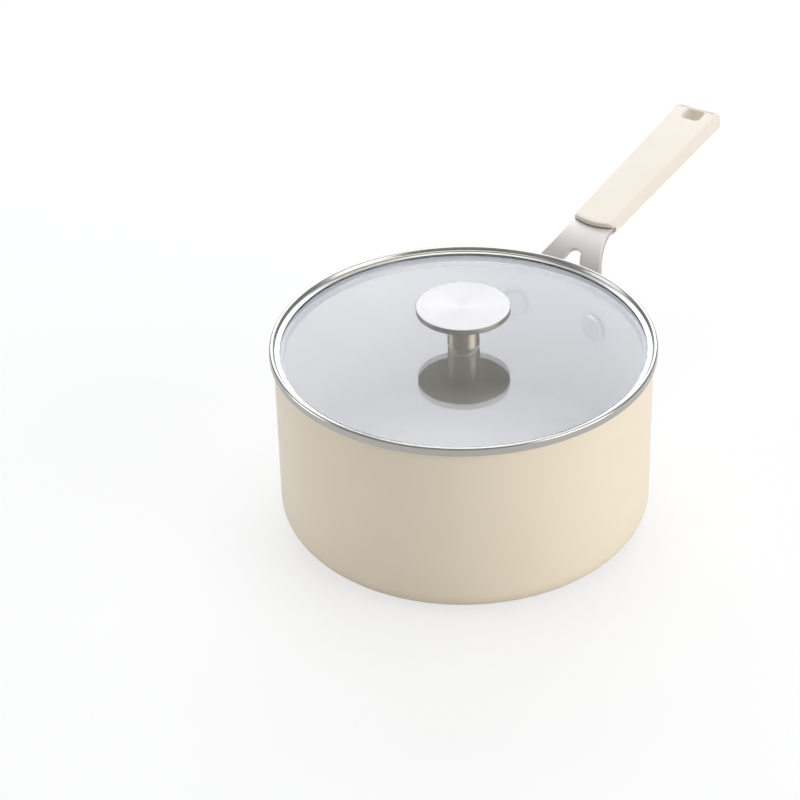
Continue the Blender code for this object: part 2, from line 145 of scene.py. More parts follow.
def make_table():
    """A flat sheet, clear from below. The camera sees a darker tint that glows, so shadows stay faint."""
    half = TABLE_SIDE / 2
    mesh = bpy.data.meshes.new("table_top")
    corners = [(-half, -half, 0.0), (half, -half, 0.0), (half, half, 0.0), (-half, half, 0.0)]
    mesh.from_pydata(corners, [], [(0, 1, 2, 3)])
    table = bpy.data.objects.new("table_top", mesh)
    bpy.context.scene.collection.objects.link(table)
    finish = bpy.data.materials.new("pale_table")
    finish.use_nodes = True
    tree = finish.node_tree
    tree.nodes.clear()
    path = add(tree, "ShaderNodeLightPath")
    glow = maths(tree, "MULTIPLY", path.outputs["Is Camera Ray"], TABLE_GLOW)
    tint = add(tree, "ShaderNodeMapRange", {0: path.outputs["Is Camera Ray"]})
    tint.inputs["To Min"].default_value = TABLE_TINT
    tint.inputs["To Max"].default_value = TABLE_SEEN_TINT
    matt = add(tree, "ShaderNodeBsdfDiffuse", {"Color": tint.outputs[0]})
    shine = add(tree, "ShaderNodeEmission", {"Color": (*WHITE, 1.0), "Strength": glow})
    lit = add(tree, "ShaderNodeAddShader", {0: matt.outputs[0], 1: shine.outputs[0]})
    clear = add(tree, "ShaderNodeBsdfTransparent")
    side = add(tree, "ShaderNodeNewGeometry")
    shown = add(tree, "ShaderNodeMixShader", {0: side.outputs["Backfacing"], 1: lit.outputs[0]})
    tree.links.new(clear.outputs[0], shown.inputs[2])
    add(tree, "ShaderNodeOutputMaterial", {"Surface": shown.outputs[0]})
    mesh.materials.append(finish)


make_camera()
light_the_room()
make_table()
# name, azimuth and elevation in degrees, distance and size in metres, brightness, tint
soft_light("behind", 122.0, 34.0, 2.4, (2.2, 1.3), 3.1, (0.87, 0.91, 1.0))
soft_light("overhead", 100.0, 80.0, 2.2, (1.6, 1.6), 2.0, (1.0, 0.99, 0.97))
soft_light("right", 6.0, 20.0, 2.2, (1.7, 1.5), 3.1, (1.0, 0.98, 0.95))
soft_light("left", 208.0, 11.0, 2.2, (1.1, 1.2), 3.0, (0.97, 0.98, 1.0))
bpy.context.scene.view_settings.view_transform = "Standard"


# ---------------------------------------------------------------------------------------------
# The pot. One aluminium body, pressed and turned, with a thick floor and a thinner wall. It is
# sprayed with cream enamel outside and pale ceramic inside, and its rim is machined bare.

ENAMEL = (238, 226, 205)
ENAMEL_DRIFT = (233, 219, 195)
CERAMIC = (200, 197, 190)
CERAMIC_DRIFT = (192, 189, 182)
BARE_ALUMINIUM = (190, 190, 188)
GAP = 0.3  # between pieces that would touch
FLOOR = 4.5
POT_CORNER = 15.3
INNER_CORNER = 12.0
WALL_AT_RIM = 1.5
WALL_BELOW = 2.5
WALL_STEP_DOWN = 8.0
RIM_INNER_ROUND = 0.6
RIM_OUTER_ROUND = 1.0
RIM_BARE_HEIGHT = 0.45
POT_TURNS = 288
LOOKS_OUT = 0.3  # outward part of a normal above which a face counts as outer
LOOKS_DOWN = -0.1  # upward part of a normal below which a face counts as an underside
SLACK = 0.05  # past a zone, for a face that still counts as part of it


def box_of(node):
    """A CAD node's lowest and highest corners in millimetres."""
    low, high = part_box(node)
    return np.array(low) / MM, np.array(high) / MM


def rounded(corners, spread=0.25, steps=7):
    """An outline of points (radius, height) from corners (radius, height, fillet radius).

    Each corner becomes an arc tangent to both its sides. It starts at the fillet radius times the tangent
    of half the turn from the corner. A further point at a small spread from each end of a straight side
    keeps the side flat in the shading.
    """
    corners = np.array(corners, float)
    places = corners[:, :2]
    before = places - np.roll(places, 1, axis=0)
    after = np.roll(places, -1, axis=0) - places
    found = []
    for place, back, ahead, radius in zip(places, before, after, corners[:, 2]):
        back_unit = back / np.linalg.norm(back)
        ahead_unit = ahead / np.linalg.norm(ahead)
        turn = math.atan2(np.cross(back_unit, ahead_unit), back_unit @ ahead_unit)
        reach = radius * math.tan(abs(turn) / 2)
        start = place - back_unit * reach
        end = place + ahead_unit * reach
        room = min(np.linalg.norm(back), np.linalg.norm(ahead)) / 2
        margin = min(spread, max(room - reach, 0.0) * 0.4)
        if radius > 0:
            side = math.copysign(1.0, turn) * np.array([-back_unit[1], back_unit[0]])
            centre = start + side * radius
            share = np.linspace(0.0, abs(turn), steps)[:, None]
            bend = centre - side * radius * np.cos(share) + back_unit * radius * np.sin(share)
        else:
            bend = place[None, :]
        found += [(start - back_unit * margin)[None, :], bend, (end + ahead_unit * margin)[None, :]]
    return np.concatenate(found)


def skin(name, *grids):
    """One closed mesh from grids of points in millimetres.

    Neighbours in a grid make its faces, and points of two grids that meet are welded.
    """
    points = []
    faces = []
    start = 0
    for grid in grids:
        rows, columns = grid.shape[:2]
        number = np.arange(rows * columns).reshape(rows, columns) + start
        corners = (number[:-1, :-1], number[1:, :-1], number[1:, 1:], number[:-1, 1:])
        faces.append(np.stack(corners, axis=-1).reshape(-1, 4))
        points.append(grid.reshape(-1, 3) * MM)
        start += rows * columns
    mesh = bpy.data.meshes.new(name)
    mesh.from_pydata(np.concatenate(points), [], np.concatenate(faces))
    form = bmesh.new()
    form.from_mesh(mesh)
    bmesh.ops.remove_doubles(form, verts=form.verts, dist=0.0005 * MM)
    bmesh.ops.dissolve_degenerate(form, edges=form.edges, dist=0.0001 * MM)
    bmesh.ops.recalc_face_normals(form, faces=form.faces)
    form.to_mesh(mesh)
    form.free()
    mesh.shade_smooth()
    mesh.set_sharp_from_angle(angle=math.radians(50))
    piece = bpy.data.objects.new(name, mesh)
    bpy.context.scene.collection.objects.link(piece)
    return piece


def turned_grid(outline, turns):
    """Points (radius cos a, radius sin a, height) for each point of a closed outline and each angle a."""
    outline = np.maximum(outline, [0.0, -1000.0])
    ring = np.concatenate([outline, outline[:1]])
    angles = np.linspace(0.0, 2 * math.pi, turns + 1)
    radius, height = ring[:, :1], ring[:, 1:]
    levels = np.broadcast_to(height, (len(ring), turns + 1))
    return np.stack([radius * np.cos(angles), radius * np.sin(angles), levels], axis=-1)


def pot_outline():
    """Corners (radius, height, fillet radius) from the floor's middle up over the rim to the underside."""
    low, high = box_of("pan_body")
    _, plate_high = box_of("induction_base_plate")
    outer = high[1]
    rim, underside = high[2], low[2]
    recess = plate_high[0] + GAP
    recess_top = plate_high[2] + GAP
    floor = underside + FLOOR
    inner, inner_rim = outer - WALL_BELOW, outer - WALL_AT_RIM
    corners = [(0.0, floor, 0.0), (inner, floor, INNER_CORNER), (inner_rim, rim - WALL_STEP_DOWN, 0.0)]
    corners += [(inner_rim, rim, RIM_INNER_ROUND), (outer, rim, RIM_OUTER_ROUND)]
    corners += [(outer, underside, POT_CORNER)]
    corners += [(recess, underside, 0.4), (recess, recess_top, 0.0), (0.0, recess_top, 0.0)]
    return corners


def paint(colour):
    """The linear colour of a swatch given as 0 to 255: ((c + 0.055) / 1.055) to the power 2.4."""
    share = np.array(colour) / 255.0
    curve = np.where(share > 0.04045, ((share + 0.055) / 1.055) ** 2.4, share / 12.92)
    return (*curve.tolist(), 1.0)


def effect(name, inputs, outputs):
    """An empty node group: inputs are (name, kind, value) and outputs (name, kind)."""
    made = bpy.data.node_groups.new(name, "ShaderNodeTree")
    for label, kind, value in inputs:
        socket = made.interface.new_socket(label, in_out="INPUT", socket_type="NodeSocket" + kind)
        socket.default_value = value
    for label, kind in outputs:
        made.interface.new_socket(label, in_out="OUTPUT", socket_type="NodeSocket" + kind)
    return made, made.nodes.new("NodeGroupInput"), made.nodes.new("NodeGroupOutput")


def make_sprayed_coat():
    """Sprayed or moulded colour: a slow drift between two tones, a fine orange peel and a drifting gloss."""
    inputs = [("Colour", "Color", (1, 1, 1, 1)), ("Drift Colour", "Color", (1, 1, 1, 1))]
    inputs += [("Roughness", "Float", 0.4), ("Peel", "Float", 700.0), ("Drift", "Float", 22.0)]
    outputs = [("Colour", "Color"), ("Roughness", "Float"), ("Height", "Float")]
    tree, given, result = effect("sprayed_coat", inputs, outputs)
    place = add(tree, "ShaderNodeTexCoord").outputs["Object"]
    slow = add(tree, "ShaderNodeTexNoise", {"Vector": place, "Scale": given.outputs["Drift"], "Detail": 3.0})
    peel = add(tree, "ShaderNodeTexNoise", {"Vector": place, "Scale": given.outputs["Peel"], "Detail": 2.0})
    tone = add(tree, "ShaderNodeMix", {0: slow.outputs["Fac"]}, data_type="RGBA")
    tree.links.new(given.outputs["Colour"], tone.inputs[6])
    tree.links.new(given.outputs["Drift Colour"], tone.inputs[7])
    swing = maths(tree, "ADD", slow.outputs["Fac"], -0.5)
    gloss = maths(tree, "MULTIPLY_ADD", swing, 0.22, given.outputs["Roughness"])
    tree.links.new(tone.outputs[2], result.inputs["Colour"])
    tree.links.new(gloss, result.inputs["Roughness"])
    tree.links.new(peel.outputs["Fac"], result.inputs["Height"])
    return tree


def make_handling_marks():
    """Soft blotches and smears, as hands and a cloth leave them: two noises and Amount multiplied."""
    inputs = [("Amount", "Float", 0.1), ("Size", "Float", 40.0)]
    tree, given, result = effect("handling_marks", inputs, [("Mask", "Float")])
    place = add(tree, "ShaderNodeTexCoord").outputs["Object"]
    blotch = add(tree, "ShaderNodeTexNoise", {"Vector": place, "Scale": given.outputs["Size"], "Detail": 4.0})
    fine = maths(tree, "MULTIPLY", given.outputs["Size"], 6.0)
    smear = add(tree, "ShaderNodeTexNoise", {"Vector": place, "Scale": fine, "Distortion": 1.5})
    both = maths(tree, "MULTIPLY", blotch.outputs["Fac"], smear.outputs["Fac"])
    level = maths(tree, "MULTIPLY", both, given.outputs["Amount"])
    tree.links.new(level, result.inputs["Mask"])
    return tree


SPRAYED_COAT = make_sprayed_coat()
HANDLING_MARKS = make_handling_marks()


def new_finish(name, metallic=0.0):
    finish = bpy.data.materials.new(name)
    finish.use_nodes = True
    shader = finish.node_tree.nodes["Principled BSDF"]
    shader.inputs["Metallic"].default_value = metallic
    return finish, finish.node_tree, shader


def bump(tree, shader, height, depth):
    """Relief of that depth in millimetres where height goes from 0 to 1."""
    relief = add(tree, "ShaderNodeBump", {"Height": height, "Distance": depth * MM, "Strength": 1.0})
    tree.links.new(relief.outputs["Normal"], shader.inputs["Normal"])


def coated(name, colour, drift, roughness, peel, depth, slow=22.0, marks=0.1):
    """A sprayed or moulded finish: peel and slow are its noises' scales, depth the peel's relief."""
    finish, tree, shader = new_finish(name)
    coat = add(tree, "ShaderNodeGroup", node_tree=SPRAYED_COAT)
    coat.inputs["Colour"].default_value = paint(colour)
    coat.inputs["Drift Colour"].default_value = paint(drift)
    coat.inputs["Roughness"].default_value = roughness
    coat.inputs["Peel"].default_value = peel
    coat.inputs["Drift"].default_value = slow
    hands = add(tree, "ShaderNodeGroup", node_tree=HANDLING_MARKS)
    hands.inputs["Amount"].default_value = marks
    rough = maths(tree, "ADD", coat.outputs["Roughness"], hands.outputs["Mask"])
    tree.links.new(coat.outputs["Colour"], shader.inputs["Base Color"])
    tree.links.new(rough, shader.inputs["Roughness"])
    bump(tree, shader, coat.outputs["Height"], depth)
    return finish


def make_worked_steel():
    """Metal with fine tool lines: a noise stretched along the tool's way drives tone, gloss and relief.

    Turned lines read (radius x Lines, angle, height x Lines), straight ones (x, y x Lines, z x Lines).
    Straight from 0 to 1 goes from the first to the second.
    """
    inputs = [("Colour", "Color", (1, 1, 1, 1)), ("Roughness", "Float", 0.25), ("Lines", "Float", 2200.0)]
    inputs += [("Straight", "Float", 0.0), ("Contrast", "Float", 0.12)]
    outputs = [("Colour", "Color"), ("Roughness", "Float"), ("Height", "Float")]
    tree, given, result = effect("worked_steel", inputs, outputs)
    place = add(tree, "ShaderNodeTexCoord").outputs["Object"]
    part = add(tree, "ShaderNodeSeparateXYZ", {0: place})
    flat = add(tree, "ShaderNodeCombineXYZ", {0: part.outputs["X"], 1: part.outputs["Y"]})
    radius = add(tree, "ShaderNodeVectorMath", {0: flat.outputs[0]}, operation="LENGTH")
    lines = given.outputs["Lines"]
    out = maths(tree, "MULTIPLY", radius.outputs["Value"], lines)
    sideways = maths(tree, "MULTIPLY", part.outputs["Y"], lines)
    up = maths(tree, "MULTIPLY", part.outputs["Z"], lines)
    around = maths(tree, "MULTIPLY", maths(tree, "ARCTAN2", part.outputs["Y"], part.outputs["X"]), 2.0)
    along = maths(tree, "MULTIPLY", part.outputs["X"], 60.0)
    turned = add(tree, "ShaderNodeCombineXYZ", {0: out, 1: around, 2: up})
    drawn = add(tree, "ShaderNodeCombineXYZ", {0: along, 1: sideways, 2: up})
    way = add(tree, "ShaderNodeMix", {0: given.outputs["Straight"]}, data_type="VECTOR")
    tree.links.new(turned.outputs[0], way.inputs[4])
    tree.links.new(drawn.outputs[0], way.inputs[5])
    scratch = add(tree, "ShaderNodeTexNoise", {"Vector": way.outputs[1], "Scale": 1.0, "Detail": 3.0})
    swing = maths(tree, "ADD", scratch.outputs["Fac"], -0.5)
    tone = maths(tree, "MULTIPLY_ADD", swing, given.outputs["Contrast"], 1.0)
    shade = add(tree, "ShaderNodeVectorMath", {0: given.outputs["Colour"]}, operation="SCALE")
    tree.links.new(tone, shade.inputs["Scale"])
    gloss = maths(tree, "MULTIPLY_ADD", swing, 0.25, given.outputs["Roughness"])
    tree.links.new(shade.outputs[0], result.inputs["Colour"])
    tree.links.new(gloss, result.inputs["Roughness"])
    tree.links.new(scratch.outputs["Fac"], result.inputs["Height"])
    return tree


WORKED_STEEL = make_worked_steel()


def metal(name, colour, roughness, lines=2200.0, straight=0.0, contrast=0.12, depth=0.004, marks=0.12,
          turned=0.0):
    """A metal finish: depth is the tool lines' relief, and turned is how far they stretch reflections."""
    finish, tree, shader = new_finish(name, metallic=1.0)
    shader.inputs["Anisotropic"].default_value = turned
    shader.inputs["Anisotropic Rotation"].default_value = 0.25
    work = add(tree, "ShaderNodeGroup", node_tree=WORKED_STEEL)
    work.inputs["Colour"].default_value = paint(colour)
    work.inputs["Roughness"].default_value = roughness
    work.inputs["Lines"].default_value = lines
    work.inputs["Straight"].default_value = straight
    work.inputs["Contrast"].default_value = contrast
    hands = add(tree, "ShaderNodeGroup", node_tree=HANDLING_MARKS)
    hands.inputs["Amount"].default_value = marks
    rough = maths(tree, "ADD", work.outputs["Roughness"], hands.outputs["Mask"])
    tree.links.new(work.outputs["Colour"], shader.inputs["Base Color"])
    tree.links.new(rough, shader.inputs["Roughness"])
    bump(tree, shader, work.outputs["Height"], depth)
    return finish


def faces_of(piece):
    """Each face's distance from the axis, its height, and its normal's outward and upward parts."""
    polygons = piece.data.polygons
    middles = np.empty(len(polygons) * 3)
    normals = np.empty(len(polygons) * 3)
    polygons.foreach_get("center", middles)
    polygons.foreach_get("normal", normals)
    middles, normals = middles.reshape(-1, 3) / MM, normals.reshape(-1, 3)
    radius = np.hypot(middles[:, 0], middles[:, 1])
    outward = (middles[:, 0] * normals[:, 0] + middles[:, 1] * normals[:, 1]) / np.maximum(radius, 1e-6)
    return radius, middles[:, 2], outward, normals[:, 2]


def make_pot():
    low, high = box_of("pan_body")
    pot = skin("pot_body", turned_grid(rounded(pot_outline(), steps=14), POT_TURNS))
    enamel = coated("cream_enamel", ENAMEL, ENAMEL_DRIFT, roughness=0.42, peel=900.0, depth=0.006)
    shader = enamel.node_tree.nodes["Principled BSDF"]
    shader.inputs["Coat Weight"].default_value = 0.12
    shader.inputs["Coat Roughness"].default_value = 0.25
    ceramic = coated("pale_ceramic", CERAMIC, CERAMIC_DRIFT, roughness=0.34, peel=600.0, depth=0.004,
                     slow=60.0)
    bare = metal("machined_rim", BARE_ALUMINIUM, roughness=0.3, lines=3000.0)
    for finish in (enamel, ceramic, bare):
        pot.data.materials.append(finish)
    _, height, outward, upward = faces_of(pot)
    inside = (height > low[2] + FLOOR - SLACK) & (outward < LOOKS_OUT) & (upward > LOOKS_DOWN)
    at_rim = height > high[2] - RIM_BARE_HEIGHT
    pot.data.polygons.foreach_set("material_index", np.where(at_rim, 2, np.where(inside, 1, 0)))
    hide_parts("pan_body")
    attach(pot, "pan")


make_pot()


# ---------------------------------------------------------------------------------------------
# The base plate. A magnetic steel disc pressed into the pot's underside so that it heats on an
# induction hob. Its face is turned in fine rings round a plain boss.

PLATE_STEEL = (176, 175, 172)
RING_PITCH = 2.4
RING_DEPTH = 0.10
BOSS_RADIUS = 11.0
DIMPLE = [(0.0, 0.25), (3.0, 0.2), (4.2, 0.0)]  # radius and depth
PLAIN_EDGE = 5.0


def make_base_plate():
    """A turned disc whose face rises into it by RING_DEPTH times half of 1 - cos(2 pi (r - boss) / pitch)."""
    low, high = box_of("induction_base_plate")
    radius, top = high[0], high[2]
    rings = np.linspace(BOSS_RADIUS, radius - PLAIN_EDGE, 260)
    wave = 0.5 - 0.5 * np.cos(2 * math.pi * (rings - BOSS_RADIUS) / RING_PITCH)
    face = np.stack([rings, RING_DEPTH * wave], axis=-1)
    around = [(BOSS_RADIUS, low[2], 0.0), (radius, low[2], 0.5), (radius, top, 0.2), (0.0, top, 0.0)]
    edge = rounded(around, spread=0.12)[3:-1]
    boss = np.array(DIMPLE + [(BOSS_RADIUS - 0.4, 0.0)])
    outline = np.concatenate([boss, face, edge])
    plate = skin("base_plate", turned_grid(outline, 144))
    finish = metal("ringed_steel", PLATE_STEEL, roughness=0.28, lines=4000.0, contrast=0.3, depth=0.006)
    plate.data.materials.append(finish)
    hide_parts("induction_base_plate")
    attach(plate, "pan")


make_base_plate()


# ---------------------------------------------------------------------------------------------
# The handle bracket. One 2.5 mm steel blank: a tang inside the grip, a neck that widens, and two
# arms that bend down and wrap the pot's wall to their rivets. It is brushed to a soft satin.

BRACKET_STEEL = (205, 200, 197)
PLATE = 2.5
PLATE_EDGE = 0.45
GRIP_RISE = math.radians(6.9)
HANDLE_START = 139.9  # from the pot's axis
HANDLE_ABOVE_LIP = 4.6
NECK_HALF = 12.3
NECK_GROWTH = 0.0078
TANG = 34.0
TANG_HALF = 8.0
SHOULDER = (0.32, 0.42)
APEX = 22.0
APEX_ROUND = 4.0
PAD = 9.0
BEND_REACH = (18.0, 14.0, 27.0)
WRAP_START = 26.0


def bracket_line():
    """The plate's centre line as a cubic curve, (x, z) and length, from the grip's end to the pot's wall."""
    lip = box_of("lid_rim")[1][2]
    pot = box_of("pan_body")[1][1]
    wall = pot + GAP + PLATE / 2
    start = np.array([HANDLE_START, lip + HANDLE_ABOVE_LIP])
    ends = [start, start - BEND_REACH[0] * np.array([1.0, math.tan(GRIP_RISE)])]
    ends += [np.array([wall, lip - BEND_REACH[1]]), np.array([wall, lip - BEND_REACH[2]])]
    t = np.linspace(0.0, 1.0, 600)[:, None]
    line = (1 - t) ** 3 * ends[0] + 3 * (1 - t) ** 2 * t * ends[1]
    line = line + 3 * (1 - t) * t**2 * ends[2] + t**3 * ends[3]
    length = np.concatenate([[0.0], np.cumsum(np.linalg.norm(np.diff(line, axis=0), axis=1))])
    return line, length, wall


def nearest_edge(points, outline):
    """Each point's distance to the nearest side of an outline, whose foot is kept between the side's ends."""
    start = outline[:-1]
    side = outline[1:] - start
    size = np.maximum((side**2).sum(axis=1), 1e-12)
    found = []
    for row in points:
        away = row[:, None, :] - start
        foot = np.clip((away * side).sum(axis=2) / size, 0.0, 1.0)
        found.append(np.linalg.norm(away - foot[..., None] * side, axis=2).min(axis=1))
    return np.array(found)


def across(inner, outer, edge, middle):
    """Widths across a plate for each row: edge times 1 - cos(a) near both edges, even steps between."""
    quarter = 1 - np.cos(np.linspace(0.0, math.pi / 2, 6))
    width = (outer - inner)[:, None]
    step = np.minimum(edge * quarter[None, :], 0.45 * width * quarter[None, :])
    first = inner[:, None] + step
    last = outer[:, None] - step[:, ::-1]
    share = np.linspace(0.0, 1.0, middle + 2)[None, 1:-1]
    between = first[:, -1:] + (last[:, :1] - first[:, -1:]) * share
    return np.concatenate([first, between, last], axis=1)


def make_bracket():
    """The plate as top and bottom grids over (v, w): v runs down the centre line and w across it.

    Both halves are the same outline, mirrored in y. A face stands at half the plate's thickness less the
    drop of a quarter circle near the outline.
    """
    line, length, wall = bracket_line()
    rivet_low, rivet_high = box_of("rivet_left")
    rivet = (rivet_low + rivet_high) / 2
    pad_w = math.atan2(rivet[1], rivet[0]) * wall
    pad_v = length[-1] + line[-1, 1] - rivet[2]

    def outer(v):
        neck = NECK_HALF + NECK_GROWTH * v**2
        arm = np.minimum(neck, pad_w + PAD)
        pad = pad_w + np.sqrt(np.maximum(PAD**2 - (v - pad_v) ** 2, 0.0))
        start, end = SHOULDER
        shoulder = TANG_HALF + (NECK_HALF - TANG_HALF) * np.clip((v - start) / (end - start), 0.0, 1.0)
        return np.where(v > pad_v, pad, np.where(v < end, shoulder, arm))

    def inner(v):
        rounding = np.sqrt(np.maximum(APEX_ROUND**2 - np.minimum(v - APEX - APEX_ROUND, 0.0) ** 2, 0.0))
        flare = (pad_w - PAD - APEX_ROUND) / (pad_v - APEX - APEX_ROUND)
        arm = rounding + np.maximum(v - APEX - APEX_ROUND, 0.0) * flare
        pad = pad_w - np.sqrt(np.maximum(PAD**2 - (v - pad_v) ** 2, 0.0))
        return np.where(v <= APEX, 0.0, np.where(v > pad_v, pad, arm))

    quarter = np.linspace(0.0, math.pi / 2, 14)
    rows = [np.linspace(-TANG, -0.2, 12), SHOULDER, np.linspace(0.8, APEX - 1.0, 22)]
    rows += [APEX - np.array([0.7, 0.45, 0.3, 0.2, 0.12, 0.06])]
    rows += [APEX + APEX_ROUND * (1 - np.cos(quarter))]
    rows += [np.linspace(APEX + APEX_ROUND, pad_v, 44)[1:], pad_v + PAD * np.sin(quarter[1:])]
    v = np.concatenate(rows)
    w = across(inner(v), outer(v), PLATE_EDGE, 10)
    opened = v >= APEX
    outline = [np.stack([v, w[:, -1]], axis=1), np.stack([v[opened], w[opened, 0]], axis=1)[::-1]]
    tang_end = np.array([[-TANG, 0.0], [-TANG, TANG_HALF]])
    flat = np.stack([np.broadcast_to(v[:, None], w.shape), w], axis=-1)
    depth = nearest_edge(flat, np.concatenate([tang_end, *outline]))
    depth = np.where(depth < 1e-6, 0.0, np.minimum(depth, PLATE_EDGE))
    rise = PLATE / 2 - PLATE_EDGE + np.sqrt(PLATE_EDGE**2 - (PLATE_EDGE - depth) ** 2)

    def middle(v, w):
        """The mid surface: flat across at the grip, then bent round the pot's axis with the wall's radius."""
        x = np.interp(v, length, line[:, 0])
        z = np.interp(v, length, line[:, 1])
        before = np.minimum(v, 0.0)
        x = x - before * math.cos(GRIP_RISE)
        z = z - before * math.sin(GRIP_RISE) - np.maximum(v - length[-1], 0.0)
        share = np.clip((v - WRAP_START) / (length[-1] - WRAP_START), 0.0, 1.0)
        wrap = share**2 * (3 - 2 * share)
        angle = w / wall
        x = x - wrap * wall * (1 - np.cos(angle))
        y = (1 - wrap) * w + wrap * wall * np.sin(angle)
        return np.stack([x, y, z], axis=-1)

    along, wide = flat[..., 0], flat[..., 1]
    step = 0.05
    down = middle(along + step, wide) - middle(along - step, wide)
    side = middle(along, wide + step) - middle(along, wide - step)
    out = np.cross(side, down)
    out = out / np.linalg.norm(out, axis=-1, keepdims=True)
    place = middle(along, wide)
    top = place + out * rise[..., None]
    bottom = place - out * rise[..., None]
    grids = []
    for flip in (1.0, -1.0):
        mirror = np.array([1.0, flip, 1.0])
        upper, lower = top * mirror, bottom * mirror
        grids += [upper, lower]
        grids += [np.stack([upper[:, -1], lower[:, -1]], axis=1)]
        grids += [np.stack([upper[opened, 0], lower[opened, 0]], axis=1)]
        grids += [np.stack([upper[0], lower[0]], axis=0), np.stack([upper[-1], lower[-1]], axis=0)]
    bracket = skin("handle_bracket_plate", *grids)
    finish = metal("satin_bracket", BRACKET_STEEL, roughness=0.46, lines=2600.0, straight=1.0, contrast=0.10,
                   depth=0.003)
    bracket.data.materials.append(finish)
    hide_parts("handle_bracket")
    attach(bracket, "pan")


make_bracket()


# ---------------------------------------------------------------------------------------------
# The rivets. Two steel ones hold the bracket: a broad flat head inside the pot, a shank through
# the wall, and a domed head that was set against the bracket outside.

RIVET_STEEL = (188, 186, 182)
INNER_HEAD = 8.0
INNER_HEAD_THICK = 1.6
INNER_HEAD_OFF = 0.65  # from the curved wall to the flat head at its middle
OUTER_HEAD = 5.0
DOME = 2.2
SHANK = 2.4


def make_rivet(word, finish):
    """A turned outline (across, along) laid along the radius that runs through the rivet."""
    low, high = box_of("rivet_" + word)
    centre = (low + high) / 2
    angle = math.atan2(centre[1], centre[0])
    pot = box_of("pan_body")[1][1]
    inside = pot - WALL_BELOW - INNER_HEAD_OFF
    outside = pot + 2 * GAP + PLATE
    corners = [(0.0, outside + DOME, 0.0), (2.6, outside + DOME - 0.1, 1.6)]
    corners += [(OUTER_HEAD, outside + 0.45, 0.7)]
    corners += [(OUTER_HEAD, outside, 0.15), (SHANK, outside, 0.0), (SHANK, inside, 0.0)]
    corners += [(INNER_HEAD, inside, 0.2), (INNER_HEAD - 0.25, inside - 0.9, 0.5)]
    corners += [(INNER_HEAD - 1.6, inside - INNER_HEAD_THICK, 1.2), (0.0, inside - INNER_HEAD_THICK, 0.0)]
    grid = turned_grid(rounded(corners, spread=0.12, steps=9), 72)
    outward = np.array([math.cos(angle), math.sin(angle), 0.0])
    sideways = np.array([-math.sin(angle), math.cos(angle), 0.0])
    upright = np.array([0.0, 0.0, 1.0])
    place = grid[..., 2:] * outward + grid[..., :1] * sideways + grid[..., 1:2] * upright
    place = place + np.array([0.0, 0.0, centre[2]])
    rivet = skin("set_rivet_" + word, place)
    rivet.data.materials.append(finish)
    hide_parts("rivet_" + word)
    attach(rivet, "pan")


rivet_satin = metal("rivet_satin", RIVET_STEEL, roughness=0.3, lines=1500.0, straight=1.0, contrast=0.08)
for word in ("left", "right"):
    make_rivet(word, rivet_satin)


# ---------------------------------------------------------------------------------------------
# The grip. A moulded cream bar with rounded edges and a hanging hole, slid over the tang. Its
# near end bows out and laps over the neck, and one screw from below holds it.

GRIP_CREAM = (234, 226, 215)
GRIP_DRIFT = (231, 221, 205)
GRIP_LENGTH = 127.3
GRIP_HALF = (13.2, 14.9)
GRIP_THICK = (4.3, 5.3)
GRIP_ROUND = 3.0
NEAR_ROUND = 0.8
NEAR_CORNER = 1.0
HOLE_ROUND = 0.9
FAR_ROUND = 4.0
LAP = 1.5
BOW = 3.1
BOW_FADE = 30.0
FACE_STEPS = 8
HOLE_ACROSS = 12.0
HOLE_ALONG = 10.5
HOLE_CORNER = 3.0
HOLE_FROM_END = 9.5
MOUTH = 12.0  # how far the cutters for the neck start before the grip
CLEAR = 20.0  # past the grip's sides and underside
SCREW_ALONG = 18.0
SCREW_HEAD = 3.6
SCREW_SEAT = -3.4


def grip_half_width(u):
    """Half the grip's width at u: a straight taper, drawn in by the quarter circles at both ends' corners."""
    taper = GRIP_HALF[0] + (GRIP_HALF[1] - GRIP_HALF[0]) * np.clip(u / GRIP_LENGTH, 0.0, 1.0)
    far = np.clip(u - (GRIP_LENGTH - FAR_ROUND), 0.0, FAR_ROUND)
    near = np.clip(NEAR_CORNER - LAP - u, 0.0, NEAR_CORNER)
    far_drop = FAR_ROUND - np.sqrt(FAR_ROUND**2 - far**2)
    near_drop = NEAR_CORNER - np.sqrt(NEAR_CORNER**2 - near**2)
    return taper - far_drop - near_drop


def hole_half_width(u):
    """Half the hanging hole's width at u: a rectangle with quarter circles at its corners."""
    corner = np.abs(u - (GRIP_LENGTH - HOLE_FROM_END)) - (HOLE_ALONG / 2 - HOLE_CORNER)
    corner = np.clip(corner, 0.0, HOLE_CORNER)
    return HOLE_ACROSS / 2 - HOLE_CORNER + np.sqrt(HOLE_CORNER**2 - corner**2)


def grip_rows():
    """Distances along the grip, close together where an end or the hole rounds over."""
    quarter = np.linspace(0.0, math.pi / 2, 12)
    hole = GRIP_LENGTH - HOLE_FROM_END
    start, end = hole - HOLE_ALONG / 2, hole + HOLE_ALONG / 2
    near = -LAP + NEAR_ROUND * (1 - np.cos(quarter[::2]))
    before = start - HOLE_ROUND * (1 - np.cos(quarter[::-1]))
    opening = start + HOLE_CORNER * (1 - np.cos(quarter))
    closing = end - HOLE_CORNER * (1 - np.cos(quarter[::-1]))
    after = end + HOLE_ROUND * (1 - np.cos(quarter))
    far = GRIP_LENGTH - FAR_ROUND * (1 - np.cos(quarter[::-1]))
    plain = np.linspace(near[-1], before[0], 40)[1:-1]
    rows = [near, plain, before, opening[1:], closing, after[1:], far]
    return np.concatenate(rows), start, end


